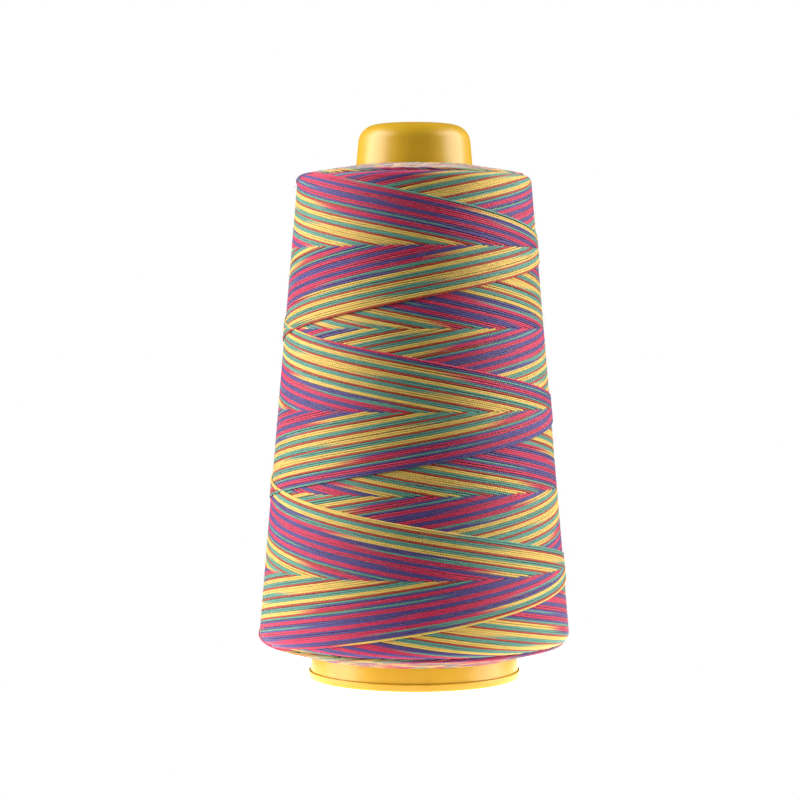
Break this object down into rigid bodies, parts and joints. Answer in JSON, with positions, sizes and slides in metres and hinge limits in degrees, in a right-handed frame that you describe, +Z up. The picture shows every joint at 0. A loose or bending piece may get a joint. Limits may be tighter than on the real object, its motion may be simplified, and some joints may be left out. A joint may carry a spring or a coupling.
{
  "type": "cone of overlock thread",
  "caption": "Tall tapered cone of variegated overlock thread, cross-wound on a hollow moulded plastic cone with a rounded nose and an open base.",
  "frame": {"origin": "centre of the base, in the plane that the cone stands on", "axes": "+Z up along the cone's axis, towards the nose; -Y towards the front, where the last crossings of the thread line up"},
  "size_m": [0.067, 0.0672, 0.118],
  "materials": {
    "cone_plastic": "gloss",
    "wound_thread": "matte"
  },
  "bodies": {
    "root": {"cone_core": "cone_plastic", "inner_winding": "wound_thread", "outer_winding": "wound_thread", "running_end": "wound_thread"}
  },
  "joints": []
}
